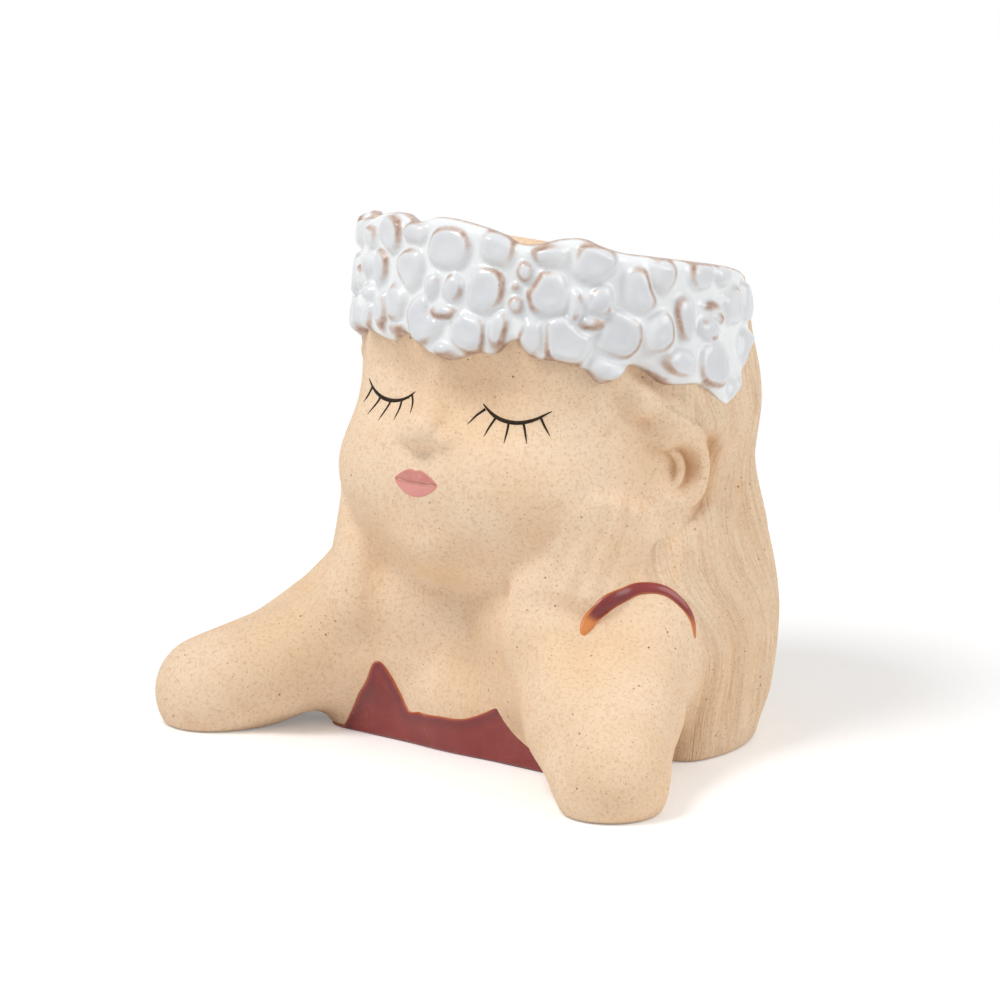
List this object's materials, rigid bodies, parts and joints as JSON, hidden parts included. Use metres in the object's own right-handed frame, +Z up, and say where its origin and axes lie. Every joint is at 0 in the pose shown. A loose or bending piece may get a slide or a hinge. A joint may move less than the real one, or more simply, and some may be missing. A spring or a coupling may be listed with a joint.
{
  "type": "head planter",
  "caption": "Ceramic planter shaped as a doll-like head resting its chin in both hands, open at the top, with a garland of roses round the rim and a stopper in the drain hole.",
  "frame": {"origin": "on the table under the middle of the base, the centre of the overall box in X and Y", "axes": "+Z up, -Y the way the face looks, +X the figure's own left side, across both elbows"},
  "size_m": [0.186, 0.146, 0.1665],
  "materials": {
    "speckled_clay": "matt unglazed buff stoneware with fine brown specks",
    "white_glaze": "glossy white glaze that breaks brown over raised edges",
    "red_glaze": "glossy brick-red glaze",
    "pink_glaze": "satin pink underglaze",
    "lash_paint": "dark brown painted lines",
    "stopper_rubber": "soft matt rubber"
  },
  "bodies": {
    "planter": {"bust_casting": "speckled_clay", "arm_left": "speckled_clay", "arm_right": "speckled_clay", "ear_left": "speckled_clay", "ear_right": "speckled_clay", "garland_ground": "white_glaze", "rose_1": "white_glaze", "rose_2": "white_glaze", "rose_3": "white_glaze", "rose_4": "white_glaze", "rose_5": "white_glaze", "loose_petals": "white_glaze", "bodice_glaze": "red_glaze", "sleeve_glaze_left": "red_glaze", "sleeve_glaze_right": "red_glaze", "lips": "pink_glaze", "lashes_left": "lash_paint", "lashes_right": "lash_paint"},
    "stopper": {"drain_stopper": "stopper_rubber"}
  },
  "joints": [
    {"name": "stopper_pull", "type": "slide", "parent": "planter", "child": "stopper", "axis": [0, 0, -1], "range_m": [0, 0.02]}
  ]
}
